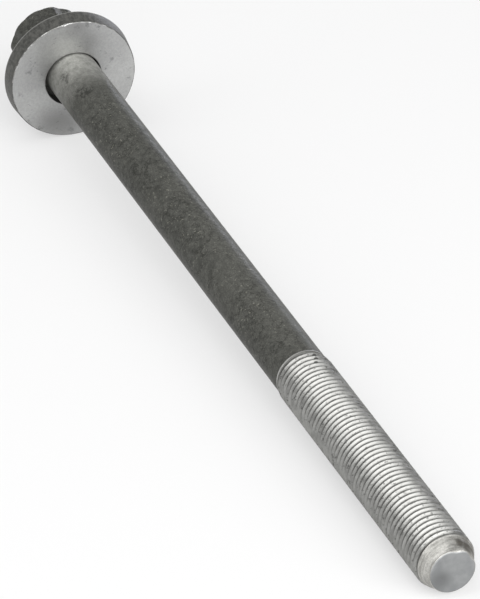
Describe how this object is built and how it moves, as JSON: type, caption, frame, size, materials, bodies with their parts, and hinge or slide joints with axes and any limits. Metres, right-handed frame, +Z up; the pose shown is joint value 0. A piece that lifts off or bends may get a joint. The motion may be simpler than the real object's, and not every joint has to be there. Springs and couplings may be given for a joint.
{
  "type": "cylinder head bolt with washer",
  "caption": "Long cylinder head bolt with a double-hexagon head, a plain shank, a right-hand fine thread at the tip and a loose thick washer under the head.",
  "frame": {"origin": "centre of the footprint, on the surface that the bolt lies on", "axes": "+X along the bolt's length in plan, towards the threaded tip; +Y across it; +Z up. The bolt lies on the washer's rim and the end of the thread, so its axis slopes 2.5 degrees down towards the tip"},
  "size_m": [0.2046, 0.0265, 0.0265],
  "materials": {
    "bolt_steel": "dark phosphate on the head and shank, bright rolled thread",
    "washer_steel": "bright ground faces, dark rim"
  },
  "bodies": {
    "root": {"bolt": "bolt_steel", "washer": "washer_steel"}
  },
  "joints": []
}
